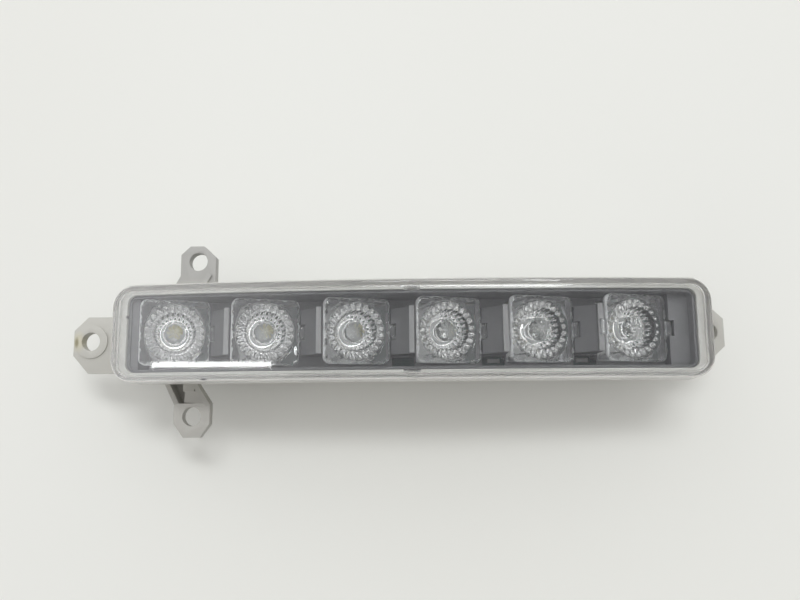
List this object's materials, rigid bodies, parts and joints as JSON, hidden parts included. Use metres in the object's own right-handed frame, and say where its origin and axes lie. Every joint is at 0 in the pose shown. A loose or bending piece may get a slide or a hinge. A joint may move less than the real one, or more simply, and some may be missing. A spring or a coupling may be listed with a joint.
{
  "type": "daytime running light",
  "caption": "Slim bowed daytime running light: a clear lens over a row of leaning faceted collimators, in a housing with four fixing ears.",
  "frame": {"origin": "on the flat rear of the connector block, under the middle of the lens outline", "axes": "+X along the lamp, away from the ear that stands alone; +Y across it; +Z out through the lens"},
  "size_m": [0.2239, 0.0667, 0.0481],
  "materials": {
    "lens_clear": "gloss",
    "housing_grey": "matte",
    "bezel_grey": "satin",
    "optic_clear": "gloss",
    "led_phosphor": "satin",
    "board_green": "satin",
    "sink_aluminium": "satin",
    "pad_grey": "matte",
    "screw_steel": "satin",
    "tinned_metal": "gloss",
    "chip_black": "matte",
    "inductor_grey": "matte",
    "can_aluminium": "satin",
    "capacitor_tan": "satin",
    "resistor_white": "satin",
    "membrane_white": "matte"
  },
  "bodies": {
    "root": {"outer_lens": "lens_clear", "housing": "housing_grey", "connector_shell": "housing_grey", "inner_bezel": "bezel_grey", "optic_1": "optic_clear", "optic_2": "optic_clear", "optic_3": "optic_clear", "optic_4": "optic_clear", "optic_5": "optic_clear", "optic_6": "optic_clear", "led_1": "led_phosphor", "led_2": "led_phosphor", "led_3": "led_phosphor", "led_4": "led_phosphor", "led_5": "led_phosphor", "led_6": "led_phosphor", "led_board_1": "board_green", "led_board_2": "board_green", "led_board_3": "board_green", "led_board_4": "board_green", "led_board_5": "board_green", "led_board_6": "board_green", "heat_sink": "sink_aluminium", "insulating_pad": "pad_grey", "circuit_board": "board_green", "board_screws": "screw_steel", "link_wires": "tinned_metal", "terminal_1": "tinned_metal", "terminal_2": "tinned_metal", "terminal_3": "tinned_metal", "driver_chip": "chip_black", "power_inductor": "inductor_grey", "smoothing_capacitor": "can_aluminium", "filter_capacitor": "capacitor_tan", "protection_diode": "chip_black", "link_resistors": "resistor_white", "vent_membrane": "membrane_white"}
  },
  "joints": []
}
